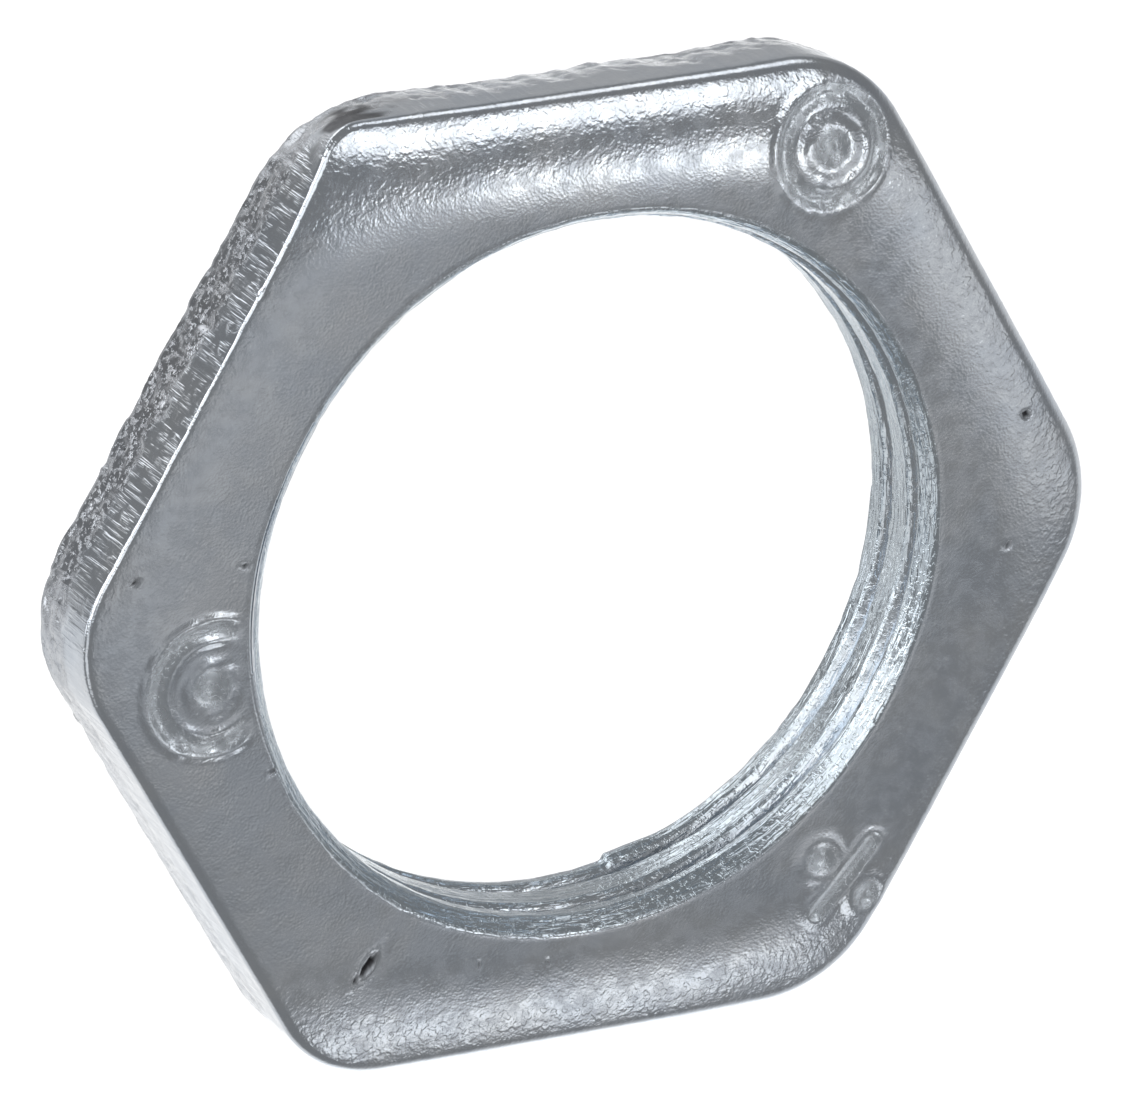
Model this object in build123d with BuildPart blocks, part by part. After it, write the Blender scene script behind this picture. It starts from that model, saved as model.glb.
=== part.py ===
from build123d import *
import os
from math import radians, tan

# A hexagonal conduit locknut: one stamped, zinc-plated steel piece with an internal thread.
# Frame, in mm: the origin is on the bore axis in the plane of the back (bearing) face, +Z runs
# along the bore and out of the marked front face, and one hexagon corner lies on +X.

# Blank
ACROSS_FLATS = 34.93  # 1 3/8 in
THICKNESS = 4.0
CORNER_RADIUS = 5.2
FRONT_EDGE_ROLL = 0.6  # the rounding that blanking leaves on the punched side
BACK_EDGE_BREAK = 0.15

# Thread: 14 turns to the inch, right-hand, each flank at 30 degrees to the faces
THREAD_PITCH = 25.4 / 14
ROOT_RADIUS = 13.22
CREST_RADIUS = 12.7
FLANK_ANGLE = 30.0
ROOT_FLAT = 0.12
GROOVE_DEPTH_BELOW_FRONT = 1.01  # from the front face to the groove's middle, on the +X side
CUTTER_OVERLAP = 0.3  # how far the groove's cutter reaches inside the crests
TURNS_BELOW = 3  # groove turns from the +X side downwards, enough to leave through the back
TURNS_ABOVE = 1

# Front lead-in: a 45 degree cone a little wider than the thread's root, so its rim is a full circle
LEAD_IN_RADIUS = 13.3

# Struck marks on the front face, near three alternate corners
MARK_DEPTH = 0.12
MARK_LINE = 0.45
RING_MARKS = ((16.7, 59.0, 2.15), (14.8, 187.0, 2.4))  # distance from the axis, angle, ring radius
RING_PIP_RADIUS = 0.6
INDEX_DISTANCE = 16.4
INDEX_ANGLE = 308.0
INDEX_TILT = 48.0
INDEX_BAR_LENGTH = 3.6
INDEX_PIP_DISTANCE = 1.3
INDEX_PIP_RADIUS = 0.5

cutter_radius = CREST_RADIUS - CUTTER_OVERLAP
root_half = ROOT_FLAT / 2
mouth_half = root_half + (ROOT_RADIUS - cutter_radius) * tan(radians(FLANK_ANGLE))
groove_z = THICKNESS - GROOVE_DEPTH_BELOW_FRONT

os.makedirs("parts", exist_ok=True)

with BuildPart() as locknut:
    # Hexagonal blank, rolled over at the front and broken at the back
    with BuildSketch() as outline:
        RegularPolygon(ACROSS_FLATS / 2, 6, major_radius=False)
        fillet(outline.vertices(), CORNER_RADIUS)
    extrude(amount=THICKNESS)
    fillet(locknut.faces().sort_by(Axis.Z)[-1].edges(), FRONT_EDGE_ROLL)
    chamfer(locknut.faces().sort_by(Axis.Z)[0].edges(), BACK_EDGE_BREAK)

    # Bore and its lead-in
    with BuildSketch() as bore_circle:
        Circle(CREST_RADIUS)
    extrude(amount=THICKNESS, mode=Mode.SUBTRACT)
    top_circles = locknut.edges().filter_by(GeomType.CIRCLE).group_by(Axis.Z)[-1]
    chamfer(top_circles.sort_by(SortBy.RADIUS)[-1], LEAD_IN_RADIUS - CREST_RADIUS)

    # Helical groove, one turn at a time, run past both faces
    for turn in range(-TURNS_BELOW, TURNS_ABOVE + 1):
        turn_z = groove_z + turn * THREAD_PITCH
        with BuildLine() as groove_path:
            Helix(THREAD_PITCH, THREAD_PITCH, ROOT_RADIUS, center=(0, 0, turn_z))
        with BuildSketch(Plane.XZ) as groove_section:
            with BuildLine() as groove_outline:
                Polyline(
                    (cutter_radius, turn_z - mouth_half),
                    (ROOT_RADIUS, turn_z - root_half),
                    (ROOT_RADIUS, turn_z + root_half),
                    (cutter_radius, turn_z + mouth_half),
                    close=True,
                )
            make_face()
        sweep(path=groove_path.line, is_frenet=True, mode=Mode.SUBTRACT)

    # Ring marks, each with a pip at its centre
    for distance, angle, ring_radius in RING_MARKS:
        with BuildSketch(Plane.XY.offset(THICKNESS)) as ring_mark:
            with PolarLocations(distance, 1, start_angle=angle):
                Circle(ring_radius)
                Circle(ring_radius - MARK_LINE, mode=Mode.SUBTRACT)
                Circle(RING_PIP_RADIUS)
        extrude(amount=-MARK_DEPTH, mode=Mode.SUBTRACT)

    # Index mark: a slanted bar between two pips
    with BuildSketch(Plane.XY.offset(THICKNESS)) as index_mark:
        with PolarLocations(INDEX_DISTANCE, 1, start_angle=INDEX_ANGLE, rotate=False):
            SlotOverall(INDEX_BAR_LENGTH, MARK_LINE, rotation=INDEX_TILT)
            with PolarLocations(INDEX_PIP_DISTANCE, 2, start_angle=INDEX_TILT + 90):
                Circle(INDEX_PIP_RADIUS)
    extrude(amount=-MARK_DEPTH, mode=Mode.SUBTRACT)

locknut.part.label = "locknut"
export_step(locknut.part, "parts/locknut.step")
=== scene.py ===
import math

import bpy
import numpy as np
from mathutils import Matrix, Vector


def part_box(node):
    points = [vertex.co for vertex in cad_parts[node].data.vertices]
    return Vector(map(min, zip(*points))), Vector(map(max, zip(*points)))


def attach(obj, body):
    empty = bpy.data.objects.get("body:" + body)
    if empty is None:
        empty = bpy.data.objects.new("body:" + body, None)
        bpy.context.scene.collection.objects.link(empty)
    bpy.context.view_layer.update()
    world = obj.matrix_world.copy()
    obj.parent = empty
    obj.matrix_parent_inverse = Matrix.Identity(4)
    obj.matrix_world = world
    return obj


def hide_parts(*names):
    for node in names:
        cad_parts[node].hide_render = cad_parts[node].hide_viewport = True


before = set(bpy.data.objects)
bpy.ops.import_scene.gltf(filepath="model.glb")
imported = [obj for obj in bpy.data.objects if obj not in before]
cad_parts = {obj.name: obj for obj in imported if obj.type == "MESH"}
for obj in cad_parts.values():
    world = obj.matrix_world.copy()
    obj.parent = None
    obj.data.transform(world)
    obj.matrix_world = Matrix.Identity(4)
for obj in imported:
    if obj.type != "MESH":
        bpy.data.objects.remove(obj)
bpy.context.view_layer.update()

# A zinc-plated hexagonal conduit locknut. Lengths are in millimetres until MM turns them into
# metres. The bore axis is +Z, the back face lies on z = 0, and azimuths are counted from +X.

MM = 0.001

# ---------------------------------------------------------------- sizes shared with the CAD model
node_low, node_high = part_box("locknut")
APOTHEM = (node_high.y - node_low.y) / 2 / MM
THICKNESS = (node_high.z - node_low.z) / MM
CORNER_RADIUS = 5.2
PITCH = 25.4 / 14
CREST_RADIUS = 12.7
ROOT_RADIUS = 13.22
ROOT_FLAT = 0.12
RIM_RADIUS = 13.3
GROOVE_Z = THICKNESS - 1.01  # the groove's middle at azimuth 0
TAN_FLANK = math.tan(math.radians(30))
MOUTH_HALF = ROOT_FLAT / 2 + (ROOT_RADIUS - CREST_RADIUS) * TAN_FLANK

# ---------------------------------------------------------------- mesh resolution
COLUMNS = 900
AZIMUTHS = np.arange(COLUMNS) * (2 * np.pi / COLUMNS)
ROWS_PER_PITCH = 18
SIDE_ROWS = 22
ROLL_ROWS = 7
FACE_ROWS = 31
BACK_ROWS = 5


# ---------------------------------------------------------------- noise
def lattice(ix, iy, iz, seed):
    """A repeatable value in -1..1 for each lattice point."""
    h = (ix * 374761393 + iy * 668265263 + iz * 1440662683 + seed * 974634777) & 0xFFFFFFFF
    h = ((h ^ (h >> 13)) * 1274126177) & 0xFFFFFFFF
    h = (h ^ (h >> 16)) & 0xFFFFFF
    return h / float(0xFFFFFF) * 2 - 1


def noise(x, y, z=0.0, seed=0):
    """Smooth value noise, about -1..1, with a feature size of 1."""
    x, y, z = np.broadcast_arrays(*(np.asarray(v, float) for v in (x, y, z)))
    fx, fy, fz = np.floor(x), np.floor(y), np.floor(z)
    ix, iy, iz = (f.astype(np.int64) for f in (fx, fy, fz))
    tx, ty, tz = ((t * t * (3 - 2 * t)) for t in (x - fx, y - fy, z - fz))
    total = 0.0
    for a in (0, 1):
        for b in (0, 1):
            for c in (0, 1):
                weight = (tx if a else 1 - tx) * (ty if b else 1 - ty) * (tz if c else 1 - tz)
                total = total + weight * lattice(ix + a, iy + b, iz + c, seed)
    return total


def rough(x, y, z, octaves, seed):
    """Several octaves of noise, each half the size and 0.6 of the strength of the last."""
    total, strength = 0.0, 1.0
    for octave in range(octaves):
        step = 2.0**octave
        total = total + strength * noise(x * step, y * step, z * step, seed + octave)
        strength *= 0.6
    return total


def ramp(x, low, high):
    """0 below low, 1 above high, smooth between."""
    t = np.clip((x - low) / (high - low), 0, 1)
    return t * t * (3 - 2 * t)


def around(azimuth, values):
    """Smoothly joins six values, one for the middle of each flat from azimuth 30 on, round the nut."""
    turn = np.mod(np.degrees(azimuth) - 30, 360) / 60
    low = np.floor(turn).astype(int) % 6
    t = turn - np.floor(turn)
    t = t * t * (3 - 2 * t)
    values = np.asarray(values, float)
    return values[low] * (1 - t) + values[(low + 1) % 6] * t


# ---------------------------------------------------------------- outline
# The corners' radii, from azimuth 0 round to 300. One corner is sharp at the front.
FRONT_CORNERS = np.array((5.2, 4.9, 1.7, 4.9, 4.6, 5.0))
BACK_CORNERS = np.full(6, CORNER_RADIUS)


def nearest_flat(azimuth):
    """Azimuth of the nearest flat's middle, and that of the nearest corner, in radians."""
    flat = np.round((np.degrees(azimuth) - 30) / 60) * 60 + 30
    corner = np.round(np.degrees(azimuth) / 60) * 60
    return np.radians(flat), np.radians(corner)


def corner_cut(corner, corners):
    """The radius, out of these six, of each of these corners."""
    return corners[np.round(np.degrees(corner) / 60).astype(int) % 6]


def outline(azimuth, corners):
    """Points and outward normals of the rounded hexagon at these azimuths."""
    flat, corner = nearest_flat(azimuth)
    cut = corner_cut(corner, corners)
    on_flat = np.abs(np.tan(azimuth - flat)) * APOTHEM <= (APOTHEM - cut) * math.tan(math.radians(30))
    centre = (APOTHEM - cut) / math.cos(math.radians(30))
    beta = azimuth - corner
    reach = centre * np.cos(beta) + np.sqrt(np.maximum(cut**2 - (centre * np.sin(beta)) ** 2, 0))
    reach = np.where(on_flat, APOTHEM / np.cos(azimuth - flat), reach)
    point = np.stack([reach * np.cos(azimuth), reach * np.sin(azimuth)], -1)
    middle = centre[..., None] * np.stack([np.cos(corner), np.sin(corner)], -1)
    flat_normal = np.stack([np.cos(flat), np.sin(flat)], -1)
    return point, np.where(on_flat[..., None], flat_normal, (point - middle) / cut[..., None])


# ---------------------------------------------------------------- front face relief
FACE_LEVEL = THICKNESS - 0.08  # leaves room for the raised metal round the marks
CROWN_REACH = 4.2  # how far in from the edge the face starts to fall
EDGE_REACH = 1.0  # and how far in it falls further
# One value for each flat, from azimuth 30 round to 330
CROWN_DROP = (0.24, 0.50, 0.05, 0.05, 0.34, 0.14)
EDGE_DROP = (0.17, 0.36, 0.09, 0.05, 0.12, 0.10)
CORNER_WIDENING = 0.22  # towards a corner the falling strip grows wider and deeper by this share
CORNER_EASING = 0.25  # but close to it the fall eases off by this share
# Struck marks: each ring's distance from the axis, azimuth and radius, then the bar's place and size
RINGS = ((16.7, 59.0, 2.15), (14.8, 187.0, 2.4))
RING_LINE = 0.6
RING_PIP_RADIUS = 0.6
RING_DEPTH, RING_LIP = 0.075, 0.04
INDEX_DISTANCE = 16.4
INDEX_AZIMUTH = math.radians(308)
INDEX_TILT = math.radians(48)
INDEX_HALF_LENGTH = 1.55
INDEX_LINE = 0.6
INDEX_PIP_DISTANCE = 1.3
INDEX_PIP_RADIUS = 0.5
INDEX_DEPTH, INDEX_LIP = 0.065, 0.035
# Handling damage: x, y, half length, half width, direction in degrees, depth
DENTS = (
    (-8.45, -13.1, 0.62, 0.2, 50, 0.16),
    (-8.95, -13.6, 0.22, 0.1, 60, 0.08),
    (16.65, 3.35, 0.2, 0.14, 150, 0.1),
    (-17.65, 2.45, 0.16, 0.12, 20, 0.08),
    (-13.6, 2.5, 0.14, 0.11, 70, 0.07),
    (-12.35, -5.25, 0.18, 0.1, 120, 0.07),
    (16.05, -1.4, 0.16, 0.1, 80, 0.06),
    (-13.1, 12.2, 0.16, 0.12, 60, 0.07),
    (-4.2, -13.8, 0.12, 0.1, 0, 0.05),
    (-1.5, -14.1, 0.13, 0.09, 20, 0.05),
)


def groove(distance, half_width, depth, lip):
    """A struck line: a rounded groove with the metal it pushed up standing beside it."""
    t = np.abs(distance) / half_width
    return -depth * (1 - ramp(t, 0.35, 1.0)) + lip * np.exp(-(((t - 1.45) / 0.45) ** 2))


def marks(x, y):
    """Height of the struck marks (two rings with centre pips, and a bar between two pips), and how
    struck each place is."""
    height, struck = 0.0, 0.0
    scuff = 0.8 + 0.5 * rough(x / 0.5, y / 0.5, 0, 2, 71)
    clear = ramp(np.hypot(x, y) - RIM_RADIUS, 0.25, 0.9)
    for distance, angle, radius in RINGS:
        a = math.radians(angle)
        away = np.hypot(x - distance * math.cos(a), y - distance * math.sin(a))
        ring = away - radius + RING_LINE / 2
        for line, half_width in ((ring, RING_LINE / 2), (away, RING_PIP_RADIUS)):
            height = height + clear * scuff * groove(line, half_width, RING_DEPTH, RING_LIP)
            struck = struck + clear * (1 - ramp(np.abs(line) / half_width, 0.8, 1.5))
    dx = x - INDEX_DISTANCE * math.cos(INDEX_AZIMUTH)
    dy = y - INDEX_DISTANCE * math.sin(INDEX_AZIMUTH)
    along = dx * math.cos(INDEX_TILT) + dy * math.sin(INDEX_TILT)
    across = -dx * math.sin(INDEX_TILT) + dy * math.cos(INDEX_TILT)
    bar = np.hypot(np.maximum(np.abs(along) - INDEX_HALF_LENGTH, 0), across)
    lines = [(bar, INDEX_LINE / 2)]
    for place in (-INDEX_PIP_DISTANCE, INDEX_PIP_DISTANCE):
        lines.append((np.hypot(along, across - place), INDEX_PIP_RADIUS))
    for away, half_width in lines:
        height = height + (0.7 + 0.3 * scuff) * groove(away, half_width, INDEX_DEPTH, INDEX_LIP)
        struck = struck + 1 - ramp(away / half_width, 0.8, 1.5)
    return height, np.minimum(struck, 1)


def dents(x, y):
    """Height of the handling damage, and how deep in a dent each place is, which the material uses as
    painted shade.
    """
    height, deep = 0.0, 0.0
    for px, py, half_length, half_width, direction, depth in DENTS:
        a = math.radians(direction)
        along = ((x - px) * math.cos(a) + (y - py) * math.sin(a)) / half_length
        across = (-(x - px) * math.sin(a) + (y - py) * math.cos(a)) / half_width
        away = np.hypot(along, across) * (1 + 0.25 * noise(x / 0.15, y / 0.15, 0, 5))
        lip = 0.1 * depth * np.exp(-(((away - 1.4) / 0.3) ** 2))
        height = height - depth * (1 - ramp(away, 0.3, 1.1)) + lip
        deep = deep + (1 - ramp(away, 0.5, 1.15)) * min(1, depth / 0.08)
    return height, deep


def crown(x, y):
    """How far the face has fallen towards the edges: each flat rolls it over by its own amount, and
    over a wider strip near the corners."""
    fall = 0.0
    for number, (drop, edge) in enumerate(zip(CROWN_DROP, EDGE_DROP)):
        a = math.radians(30 + 60 * number)
        inward = APOTHEM - x * math.cos(a) - y * math.sin(a)
        along = y * math.cos(a) - x * math.sin(a)
        wide = 1 + CORNER_WIDENING * ramp(np.abs(along), 4, 11)
        rolled = drop * np.clip(1 - inward / (CROWN_REACH * wide), 0, 1) ** 2
        rolled = rolled + edge * np.exp(-np.maximum(inward, 0) / (EDGE_REACH * wide))
        fall = fall + rolled * wide * (1 - CORNER_EASING * ramp(np.abs(along), 6, 11))
    return fall


def face_height(x, y):
    """Height of the front face: crowned, a little wavy, with its marks and dents."""
    wave = 0.008 * noise(x / 2.6, y / 2.6, 0, 11) + 0.0012 * rough(x / 0.6, y / 0.6, 0, 2, 12)
    return FACE_LEVEL - crown(x, y) + wave + marks(x, y)[0] + dents(x, y)[0]


# ---------------------------------------------------------------- bore
BORE_TOP = THICKNESS - 0.10  # where the lead-in cone meets the face
BORE_ROWS = ((np.arange(ROWS_PER_PITCH) + 0.5) / ROWS_PER_PITCH - 0.5) * PITCH  # from the groove's middle
BORE_REPEATS = range(-4, 5)  # enough pitches to reach past both faces all round
BURR = (281.0, 296.0)  # a burr on the bore's back edge, from one azimuth to the other
BURR_HEIGHT = 0.2
BACK_CHIP = 0.08  # how far the bore's back lip is chipped


def bore_radius(azimuth, z):
    """Radius of the threaded bore, with its lead-in cone and torn edges, and how cut the metal is."""
    off = np.mod(z - GROOVE_Z - PITCH * azimuth / (2 * np.pi) + PITCH / 2, PITCH) - PITCH / 2
    depth = np.clip((MOUTH_HALF - np.abs(off)) / TAN_FLANK, 0, ROOT_RADIUS - CREST_RADIUS)
    thread = CREST_RADIUS + depth
    cone = RIM_RADIUS - (THICKNESS - z)
    blend = 0.03
    radius = blend * np.logaddexp(thread / blend, cone / blend)
    along = azimuth * CREST_RADIUS
    on_cone = ramp(cone - thread, -0.05, 0.1)
    on_land = (1 - ramp(depth, 0.02, 0.12)) * (1 - on_cone)
    at_edge = np.exp(-(((np.abs(off) - MOUTH_HALF) / 0.13) ** 2))
    ends = 1 - ramp(z, THICKNESS - 0.12, THICKNESS)
    streaks = noise(along / 6.0, z / 0.2, 0, 21) + 0.6 * noise(along / 2.2, z / 0.13, 3.0, 22)
    torn = rough(along / 0.6, z / 0.3, 0, 2, 23)
    radius = radius + ends * (
        streaks * (0.014 * on_cone + 0.015 * on_land + 0.003)
        + torn * (0.010 * on_land + 0.008 * on_cone + 0.014 * at_edge * (1 - 0.5 * on_cone))
    )
    degrees = np.degrees(azimuth)
    burr = ramp(degrees, BURR[0], BURR[0] + 1) * (1 - ramp(degrees, BURR[0] + 2, BURR[1]))
    radius = radius - BURR_HEIGHT * burr * (1 - ramp(z, 0.2, 0.7))
    return radius, np.clip(on_land + on_cone + at_edge, 0, 1)


# ---------------------------------------------------------------- outer side
# One value for each flat, from azimuth 30 round to 330
ROLL_RADIUS = (0.5, 0.28, 0.10, 0.32, 0.4, 0.5)
BREAK_TAPER = (0.1, 0.34, 0.0, 0.0, 0.05, 0.05)  # how far the broken zone draws in at the back
TEAR = (0.8, 0.45, 1.5, 0.3, 0.6, 0.8)  # how rough the broken zone is, and how much its colour is darkened, partly as painted shade
STRIAE = (0.6, 0.25, 1.7, 0.2, 0.5, 0.6)  # how scored the cut zone is
BREAK_HEIGHT = 1.9  # the blanking tool cut above this height, and the steel broke below it
CRUMB_HEIGHT, TEAR_PIT_DEPTH, SCORE_DEPTH = 0.03, 0.12, 0.010  # before those shares
SIDE_INSET = 0.005
SHADE_PATCH_AZIMUTH, SHADE_PATCH_WIDTH = 118.0, 3.6  # painted shade: a dark patch on the side by the sharp corner, in degrees
SHADE_PATCH_Z, SHADE_PATCH_REACH = 2.2, 1.3
SHADE_PATCH_STRENGTH = 0.85
BACK_EDGE = 0.1  # height of the rounding at the back edge
BACK_ROUNDING = ((0.03, 0.45), (0.1, 0.85), (0.22, 1.0))  # how far in, and by what share of it down


def side_offset(azimuth, along, z):
    """How far the side stands out (+) or in (-) from its outline, and how broken the surface is."""
    tear, score = around(azimuth, TEAR), around(azimuth, STRIAE)
    line = BREAK_HEIGHT + 0.35 * noise(along / 1.6, 0, 0, 31) + 0.25 * noise(along / 0.45, 0, 0, 32)
    broken = 1 - ramp(z, line - 0.25, line + 0.15)
    taper = around(azimuth, BREAK_TAPER) * np.clip((line - z) / BREAK_HEIGHT, 0, 1) ** 1.3
    crumbs = rough(along / 0.5, z / 0.4, 0, 3, 33)
    pits = np.maximum(noise(along / 0.42, z / 0.36, 2.0, 36) - 0.3, 0)
    striae = noise(along / 0.22, z / 2.4, 0, 34) + 0.5 * noise(along / 0.5, z / 1.7, 0, 35)
    offset = -taper + broken * tear * (CRUMB_HEIGHT * np.minimum(crumbs, 0.6) - TEAR_PIT_DEPTH * pits)
    return offset + (1 - broken) * score * SCORE_DEPTH * striae - SIDE_INSET, broken * tear


# ---------------------------------------------------------------- mesh
# Broken steel, its dull colour partly painted shade, steel cut by the tap, scored side, painted shade in
# the dents and on a patch by the sharp corner, struck marks, drawn-down face
ZONES = ("broken", "cut", "side", "painted_shade", "struck", "drawn")


class Skin:
    """The nut's mesh as it grows: its points, faces, and how far each point lies in each zone."""

    def __init__(self):
        self.points, self.zones, self.faces = [], [], []
        self.count = 0

    def add(self, xyz, **values):
        """Adds points, with values for some zones, and returns their numbers."""
        zone = np.zeros((len(xyz), len(ZONES)))
        for name, value in values.items():
            zone[:, ZONES.index(name)] = value
        self.points.append(xyz)
        self.zones.append(zone)
        first = self.count
        self.count += len(xyz)
        return np.arange(first, self.count)

    def bridge(self, ring, outer):
        """Joins two rings of one point per column with a strip of quads."""
        for i in range(COLUMNS):
            n = (i + 1) % COLUMNS
            self.faces.append((ring[i], outer[i], outer[n], ring[n]))


def add_bore(skin):
    """The bore: its rows follow the helix and are clipped at both faces. Returns the numbers of the
    points round its front rim and round its back lip."""
    base = np.concatenate([BORE_ROWS + PITCH * k for k in BORE_REPEATS])
    edge_along = AZIMUTHS * CREST_RADIUS
    chips = noise(edge_along / 0.9, 0, 0, 41) + 0.3 * noise(edge_along / 0.3, 0, 0, 42)
    back_rise = 0.02 + BACK_CHIP * np.maximum(chips, 0)
    numbers = np.empty((COLUMNS, len(base)), int)
    for i, a in enumerate(AZIMUTHS):
        z = GROOVE_Z + PITCH * a / (2 * np.pi) + base
        inside = (z > back_rise[i] + 0.05) & (z < BORE_TOP - 0.02)
        heights = np.concatenate([[back_rise[i]], z[inside], [BORE_TOP]])
        radius, cut = bore_radius(np.full(len(heights), a), heights)
        ids = skin.add(np.stack([radius * math.cos(a), radius * math.sin(a), heights], -1), cut=cut)
        clipped = np.where(z < THICKNESS / 2, ids[0], ids[-1])
        numbers[i] = np.where(inside, ids[0] + np.cumsum(inside), clipped)
    for i in range(COLUMNS):
        left, right = numbers[i], numbers[(i + 1) % COLUMNS]
        if i + 1 == COLUMNS:  # once round, the helix has climbed one pitch
            left, right = left[:-ROWS_PER_PITCH], right[ROWS_PER_PITCH:]
        for j in range(len(left) - 1):
            corner = (left[j], left[j + 1], right[j + 1], right[j])
            ring = [v for k, v in enumerate(corner) if v != corner[k - 1]]
            if len(ring) >= 3 and len(set(ring)) == len(ring):
                skin.faces.append(ring)
    return numbers[:, -1], numbers[:, 0]


def face_rows(rim, front, front_normal, roll):
    """Rows over the front face, from the bore's rim to where the edge's roll starts."""
    inner_edge = front - front_normal * roll[:, None]
    share = np.linspace(0, 1, FACE_ROWS + 1)[1:]
    for s in share + 0.10 * np.sin(np.pi * share) ** 2 * (1 - share):
        xy = rim * (1 - s) + inner_edge * s
        x, y = xy[:, 0], xy[:, 1]
        drawn = ramp(crown(x, y), 0.02, 0.2)
        # the dents carry painted shade
        values = {"painted_shade": dents(x, y)[1], "struck": marks(x, y)[1], "drawn": drawn}
        yield np.column_stack([xy, face_height(x, y)]), values


def roll_rows(front, front_normal, roll, along):
    """Rows round the rolled front edge, down to the side."""
    side_top = face_height(front[:, 0], front[:, 1]) - roll
    offset, broken = side_offset(AZIMUTHS, along, side_top)
    score = around(AZIMUTHS, STRIAE)
    for k in range(1, ROLL_ROWS + 1):
        turn = math.pi / 2 * k / ROLL_ROWS
        blend = k / ROLL_ROWS
        xy = front - front_normal * (roll * (1 - math.sin(turn)) - offset * blend)[:, None]
        z = face_height(xy[:, 0], xy[:, 1]) - roll * (1 - math.cos(turn))
        yield np.column_stack([xy, z]), {"broken": broken * blend, "side": score * blend}


def side_rows(side_top, back_edge, front, back, back_normal, along):
    """Rows down the side, which takes on the back's outline as it goes."""
    score = around(AZIMUTHS, STRIAE)
    for k in range(1, SIDE_ROWS + 1):
        share = k / SIDE_ROWS
        z = side_top + (back_edge - side_top) * share
        offset, broken = side_offset(AZIMUTHS, along, z)
        spread = min(1.0, share * 1.15)
        xy = front * (1 - spread) + back * spread + back_normal * offset[:, None]
        # painted shade: a dark patch on the side by the sharp corner
        across = (np.degrees(AZIMUTHS) - SHADE_PATCH_AZIMUTH) / SHADE_PATCH_WIDTH
        far = np.hypot(across, (z - SHADE_PATCH_Z) / SHADE_PATCH_REACH) + 0.5 * noise(along / 0.4, z / 0.4, 0, 61)
        painted_shade_patch = SHADE_PATCH_STRENGTH * (1 - ramp(far, 0.5, 1.3))
        yield np.column_stack([xy, z]), {"broken": broken, "side": score, "painted_shade": painted_shade_patch}


def back_rows(back_edge, back, back_normal, lip, along):
    """Rows round the back edge and in over the flat back face, towards the bore's lip."""
    offset = side_offset(AZIMUTHS, along, back_edge)[0] + 0.02 * noise(along / 0.8, 5.0, 0, 52)
    for draw, drop in BACK_ROUNDING:
        outer = back + back_normal * (offset - draw)[:, None]
        yield np.column_stack([outer, back_edge * (1 - drop)]), {"broken": 0.4}
    for k in range(1, BACK_ROWS + 1):
        s = k / (BACK_ROWS + 0.5)
        yield np.column_stack([outer * (1 - s) + lip * s, np.zeros(COLUMNS)]), {}


def build_nut():
    """Points, faces and zones of the whole nut. Outside the bore the mesh is one plain grid: over
    the face, round the roll, down the side, and over the back face to the bore's back lip."""
    skin = Skin()
    rim_ids, lip_ids = add_bore(skin)
    made = np.concatenate(skin.points)
    rim, lip = made[rim_ids, :2], made[lip_ids, :2]
    front, front_normal = outline(AZIMUTHS, FRONT_CORNERS)
    back, back_normal = outline(AZIMUTHS, BACK_CORNERS)
    roll = around(AZIMUTHS, ROLL_RADIUS)
    steps = np.linalg.norm(np.diff(back, axis=0), axis=1)
    along = np.concatenate([[0], np.cumsum(steps)])
    back_edge = BACK_EDGE + 0.06 * noise(along / 1.1, 0, 0, 51)

    rows = list(face_rows(rim, front, front_normal, roll))
    rows += roll_rows(front, front_normal, roll, along)
    side_top = rows[-1][0][:, 2]
    rows += side_rows(side_top, back_edge, front, back, back_normal, along)
    rows += back_rows(back_edge, back, back_normal, lip, along)
    previous = rim_ids
    for xyz, values in rows:
        ids = skin.add(xyz, **values)
        skin.bridge(previous, ids)
        previous = ids
    skin.bridge(previous, lip_ids)
    return np.concatenate(skin.points), skin.faces, np.concatenate(skin.zones)


def make_object(name, points, faces, zones):
    """A smooth-shaded object with its zones as point attributes, for the material."""
    mesh = bpy.data.meshes.new(name)
    mesh.from_pydata((points * MM).tolist(), [], [tuple(int(v) for v in f) for f in faces])
    mesh.validate()
    for channel, zone in enumerate(ZONES):
        attribute = mesh.attributes.new(zone, "FLOAT", "POINT")
        attribute.data.foreach_set("value", np.ascontiguousarray(zones[:, channel], np.float32))
    mesh.polygons.foreach_set("use_smooth", [True] * len(mesh.polygons))
    mesh.update()
    piece = bpy.data.objects.new(name, mesh)
    bpy.context.scene.collection.objects.link(piece)
    return piece


# ---------------------------------------------------------------- material
ZINC_DULL = (0.58, 0.635, 0.71, 1)
ZINC_PALE = (0.66, 0.70, 0.75, 1)
MOTTLE = (0.48, 0.52, 0.59, 1)
SPECK = (0.82, 0.86, 0.90, 1)
# Dull broken steel, partly painted shade: it is laid heaviest on the side at azimuth 150
BROKEN_STEEL_AND_SIDE_SHADE = (0.36, 0.37, 0.40, 1)
CUT_STEEL = (0.50, 0.60, 0.67, 1)
STRUCK_ZINC = (0.78, 0.85, 0.92, 1)
# Near-black painted shade, for the dents and a patch by the sharp corner
PAINTED_SHADE_COLOUR = (0.05, 0.05, 0.055, 1)
RELIEF_HEIGHT = 0.00006  # metres


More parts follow.
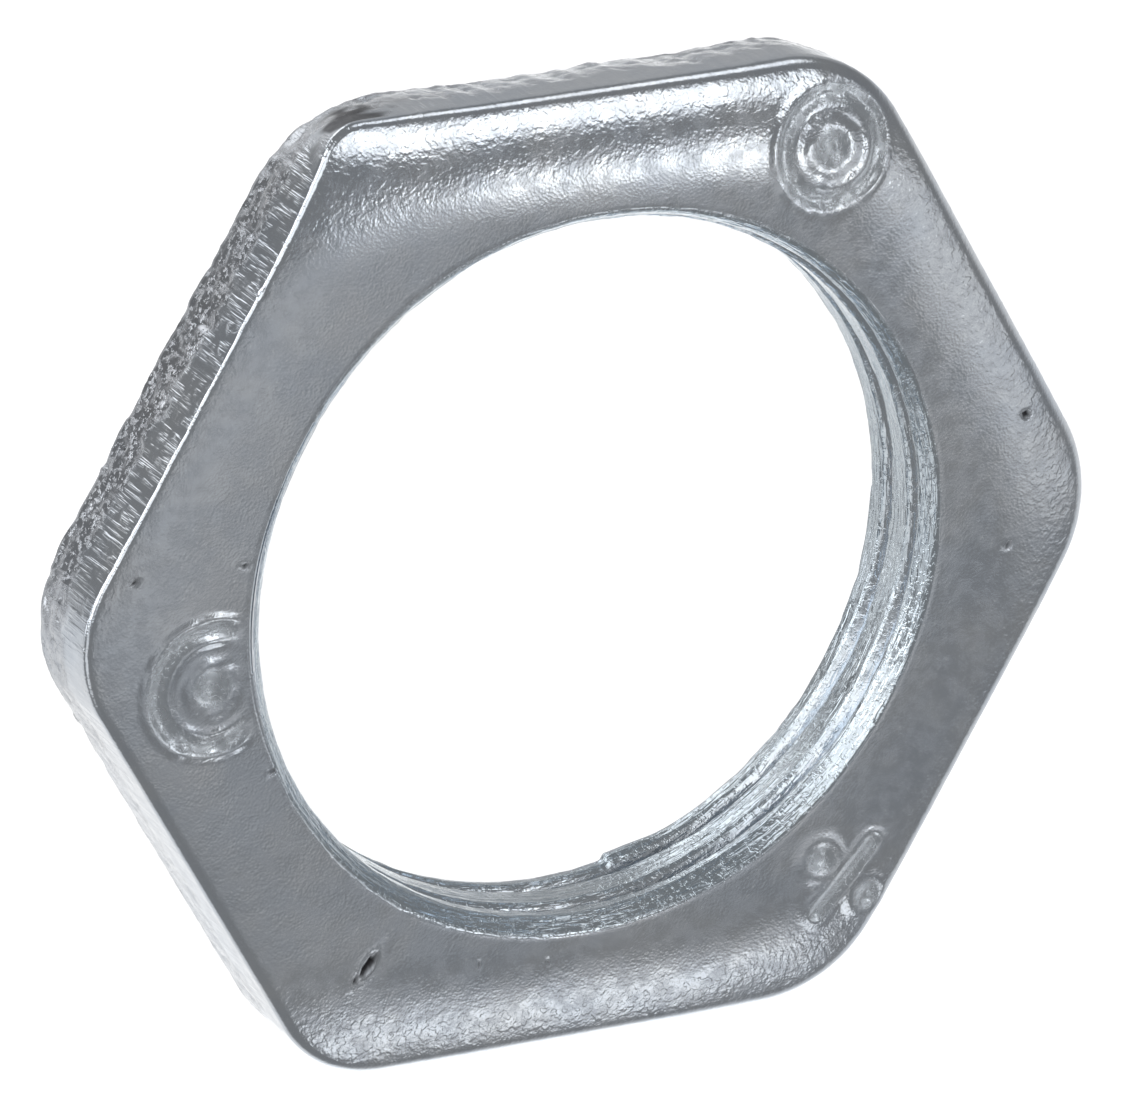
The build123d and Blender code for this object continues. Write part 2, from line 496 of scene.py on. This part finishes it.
class Nodes:
    """A short way to write a shader's node tree."""

    def __init__(self, tree):
        self.tree = tree

    def add(self, kind, inputs=(), **settings):
        """A new node with these settings. An input is a value, or another node's output to link."""
        node = self.tree.nodes.new(kind)
        for key, value in settings.items():
            setattr(node, key, value)
        for socket, value in dict(inputs).items():
            self.put(node.inputs[socket], value)
        return node

    def put(self, socket, value):
        if isinstance(value, bpy.types.NodeSocket):
            self.tree.links.new(value, socket)
        else:
            socket.default_value = value

    def math(self, operation, a, b=0.0):
        return self.add("ShaderNodeMath", {0: a, 1: b}, operation=operation).outputs[0]

    def remap(self, value, low, high, to_low=0.0, to_high=1.0):
        """Takes low..high to to_low..to_high, smoothly, and stays level outside."""
        inputs = {"Value": value, "From Min": low, "From Max": high, "To Min": to_low, "To Max": to_high}
        return self.add("ShaderNodeMapRange", inputs, interpolation_type="SMOOTHSTEP").outputs[0]

    def mix(self, factor, a, b):
        node = self.add("ShaderNodeMix", data_type="RGBA")
        self.put(node.inputs[0], factor)
        self.put(node.inputs[6], a)
        self.put(node.inputs[7], b)
        return node.outputs[2]


def zinc_material():
    """Bright zinc plate over stamped steel: mottled, fine-grained, duller where the steel broke, with
    painted shade on the broken steel, in the dents and on a patch by the sharp corner.
    """
    material = bpy.data.materials.new("zinc_plate")
    material.use_nodes = True
    tree = material.node_tree
    tree.nodes.clear()
    n = Nodes(tree)
    place = n.add("ShaderNodeTexCoord").outputs["Object"]
    broken, cut, side, painted_shade, struck, drawn = (
        n.add("ShaderNodeAttribute", attribute_name=zone).outputs["Fac"] for zone in ZONES
    )

    def grain(scale, detail=2.0, roughness=0.5, stretch=(1, 1, 1)):
        """Noise with features of 1 / scale metres, drawn out where stretch is small."""
        vector = n.add("ShaderNodeMapping", {"Vector": place, "Scale": stretch}).outputs[0]
        inputs = {"Vector": vector, "Scale": scale, "Detail": detail, "Roughness": roughness}
        return n.add("ShaderNodeTexNoise", inputs).outputs["Fac"]

    clouds = n.remap(grain(260.0, 3.0, 0.6), 0.3, 0.7)
    mottle = n.remap(grain(1600.0, 3.0, 0.6), 0.32, 0.68)
    speck = n.remap(grain(7000.0, 2.0, 0.6), 0.6, 0.75)
    colour = n.mix(clouds, ZINC_DULL, ZINC_PALE)
    for layer, strength, tint in (
        (mottle, 0.22, MOTTLE),
        (speck, 0.30, SPECK),
        # the broken steel's darkening is partly painted shade, heaviest on the side at azimuth 150
        (broken, 0.40, BROKEN_STEEL_AND_SIDE_SHADE),
        (cut, 0.45, CUT_STEEL),
        (struck, 0.5, STRUCK_ZINC),
        (painted_shade, 1.0, PAINTED_SHADE_COLOUR),
    # painted shade: the dents and a patch by the sharp corner turn near black
    ):
        colour = n.mix(n.math("MULTIPLY", layer, strength), colour, tint)

    gloss = n.remap(mottle, 0.0, 1.0, 0.13, 0.21)
    gloss = n.math("ADD", gloss, n.math("MULTIPLY", struck, 0.08))
    gloss = n.math("ADD", gloss, n.math("MULTIPLY", painted_shade, 0.4))

    # Relief: crystalline grain all over, scoring on the cut sides, crumbs on the broken ones, tool
    # lines and crumbs round the bore, and coarser grain where the face is drawn down at its edges
    fine = grain(9500.0, 2.0, 0.6)
    facets = n.add("ShaderNodeTexVoronoi", {"Vector": place, "Scale": 9000.0}).outputs["Distance"]
    relief = n.math("ADD", n.math("MULTIPLY", fine, 0.13), n.math("MULTIPLY", facets, 0.11))
    lines = n.remap(grain(5200.0, 2.0, 0.6, (1, 1, 0.08)), 0.43, 0.69)
    patches = n.remap(grain(1100.0, 2.0, 0.6), 0.36, 0.55)
    scored = n.math("MULTIPLY", n.math("MULTIPLY", lines, patches), side)
    scored = n.math("MULTIPLY", scored, n.math("SUBTRACT", 1.0, n.math("MULTIPLY", broken, 0.6)))
    lumps = n.remap(grain(4400.0, 3.0, 0.75), 0.52, 0.70)
    torn = n.math("MULTIPLY", lumps, n.math("ADD", broken, n.math("MULTIPLY", struck, 0.3)))
    turned = n.remap(grain(7000.0, 2.0, 0.6, (0.10, 0.10, 1)), 0.40, 0.64)
    turned = n.math("MULTIPLY", turned, cut)
    crumbs = n.math("MULTIPLY", n.remap(grain(5600.0, 2.0, 0.7), 0.5, 0.72), cut)
    peel = n.math("MULTIPLY", n.remap(grain(4300.0, 1.5, 0.5), 0.4, 0.66), drawn)
    for part, strength in ((scored, 1.0), (torn, 1.5), (turned, 1.3), (crumbs, 1.0), (peel, 0.2)):
        relief = n.math("ADD", relief, n.math("MULTIPLY", part, strength))
    bump = n.add("ShaderNodeBump", {"Strength": 0.3, "Distance": RELIEF_HEIGHT, "Height": relief})

    inputs = {"Metallic": 1.0, "Base Color": colour, "Roughness": gloss, "Normal": bump.outputs[0]}
    shader = n.add("ShaderNodeBsdfPrincipled", inputs)
    output = n.add("ShaderNodeOutputMaterial")
    tree.links.new(shader.outputs[0], output.inputs["Surface"])
    return material


# ---------------------------------------------------------------- studio
# Soft lights of the studio: direction, full to this angle, gone at this angle (degrees), strength
SOFT_LIGHTS = (
    ((-0.45, 0.40, 0.80), 12, 31, 1.35),  # edges that face the camera, most of all at azimuth 150
    ((0.43, 0.315, 0.847), 6, 11, 1.9),  # outer band on the face at azimuth 90
    ((0.43, 0.90, 0.06), 6, 15, 1.3),  # edge at azimuth 90
    ((0.485, -0.158, 0.86), 3, 6, 1.95),  # inner band on the face at azimuth 90
    ((0.64, -0.24, 0.73), 2.5, 10, 0.52),  # face at azimuth 30
    ((0.344, -0.314, 0.885), 1.5, 8.5, 0.27),  # face towards azimuth 180
    ((0.43, -0.597, 0.677), 2.2, 7, 1.15),  # band on the face at azimuth 270
    ((0.75, -0.55, -0.35), 25, 55, 0.56),  # edges at azimuths 270 to 360
    ((0.10, -0.62, -0.78), 28, 58, 0.66),  # side at azimuth 210
    ((0.43, 0.36, -0.83), 15, 40, 0.22),  # side at azimuth 90
    ((-0.15, 0.55, -0.82), 5, 26, 1.45),  # bore round azimuth 300
    ((-0.77, -0.10, -0.63), 3, 12, 1.8),  # glints on the side at azimuth 150
    ((-0.92, 0.38, 0.0), 10, 35, 2.6),  # glints on the same side
    ((-0.78, -0.42, 0.36), 6, 28, 0.75),  # lead-in cone round azimuth 0
)
AMBIENT = 0.26
LIGHT_COLOUR = (1.0, 0.99, 0.975, 1)


def studio_world():
    """The surroundings: soft lights for the metal to reflect, and plain white for the camera."""
    world = bpy.data.worlds.new("studio")
    bpy.context.scene.world = world
    world.use_nodes = True
    tree = world.node_tree
    tree.nodes.clear()
    n = Nodes(tree)
    direction = n.add("ShaderNodeTexCoord").outputs["Generated"]
    total = None
    for toward, full, gone, strength in SOFT_LIGHTS:
        unit = Vector(toward).normalized()
        dot = n.add("ShaderNodeVectorMath", {0: direction, 1: unit}, operation="DOT_PRODUCT")
        edge, middle = math.cos(math.radians(gone)), math.cos(math.radians(full))
        lobe = n.remap(dot.outputs["Value"], edge, middle, 0.0, strength)
        total = lobe if total is None else n.math("ADD", total, lobe)
    light = n.math("ADD", total, AMBIENT)
    lit = n.add("ShaderNodeBackground", {"Color": LIGHT_COLOUR, "Strength": light}).outputs[0]
    plain = n.add("ShaderNodeBackground", {"Color": (1.0, 1.0, 1.0, 1), "Strength": 1.0}).outputs[0]
    seen = n.add("ShaderNodeLightPath").outputs["Is Camera Ray"]
    mix = n.add("ShaderNodeMixShader", {0: seen, 1: lit, 2: plain}).outputs[0]
    output = n.add("ShaderNodeOutputWorld")
    tree.links.new(mix, output.inputs["Surface"])


FLOOR_HALF = 1.5  # metres
FLOOR_GAP = 0.00002  # metres below the back face


def floor():
    """A plain pale floor, kept out of the metal's reflections."""
    mesh = bpy.data.meshes.new("floor")
    r = FLOOR_HALF
    mesh.from_pydata([(-r, -r, 0), (r, -r, 0), (r, r, 0), (-r, r, 0)], [], [(0, 1, 2, 3)])
    piece = bpy.data.objects.new("floor", mesh)
    piece.location.z = -FLOOR_GAP
    bpy.context.scene.collection.objects.link(piece)
    material = bpy.data.materials.new("pale_floor")
    material.use_nodes = True
    shader = material.node_tree.nodes["Principled BSDF"]
    shader.inputs["Base Color"].default_value = (0.5, 0.5, 0.5, 1)
    shader.inputs["Roughness"].default_value = 1.0
    shader.inputs["Specular IOR Level"].default_value = 0.0
    shader.inputs["Emission Color"].default_value = (1, 1, 1, 1)
    shader.inputs["Emission Strength"].default_value = 0.86
    mesh.materials.append(material)
    piece.visible_glossy = False
    return piece


# Camera: where it looks, from where, and how it is turned, in millimetres and degrees
CAMERA_TARGET = (-1.48, 1.03, 4.0)
CAMERA_DISTANCE = 514.5
CAMERA_AZIMUTH = 139.86
CAMERA_ELEVATION = 55.26
CAMERA_ROLL = 126.48
CAMERA_LENS = 481.96  # on a sensor 36 mm wide


def camera():
    """A long lens, looking down at the front face from the side of the flat at azimuth 150."""
    azimuth, elevation = math.radians(CAMERA_AZIMUTH), math.radians(CAMERA_ELEVATION)
    level = math.cos(elevation)
    back = Vector((math.cos(azimuth) * level, math.sin(azimuth) * level, math.sin(elevation)))
    right = (-back).cross(Vector((0, 0, 1))).normalized()
    up = back.cross(right)
    roll = math.radians(CAMERA_ROLL)
    x_axis = right * math.cos(roll) + up * math.sin(roll)
    y_axis = back.cross(x_axis)
    data = bpy.data.cameras.new("camera")
    data.lens, data.sensor_width = CAMERA_LENS, 36.0
    data.clip_start, data.clip_end = 0.01, 20.0
    piece = bpy.data.objects.new("camera", data)
    bpy.context.scene.collection.objects.link(piece)
    rotation = Matrix((x_axis, y_axis, back)).transposed().to_4x4()
    place = (Vector(CAMERA_TARGET) + back * CAMERA_DISTANCE) * MM
    piece.matrix_world = Matrix.Translation(place) @ rotation
    bpy.context.scene.camera = piece


bpy.context.scene.view_settings.view_transform = "Standard"
bpy.context.scene.view_settings.look = "None"

nut = make_object("nut", *build_nut())
nut.data.materials.append(zinc_material())
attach(nut, "root")
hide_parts("locknut")

studio_world()
floor()
camera()
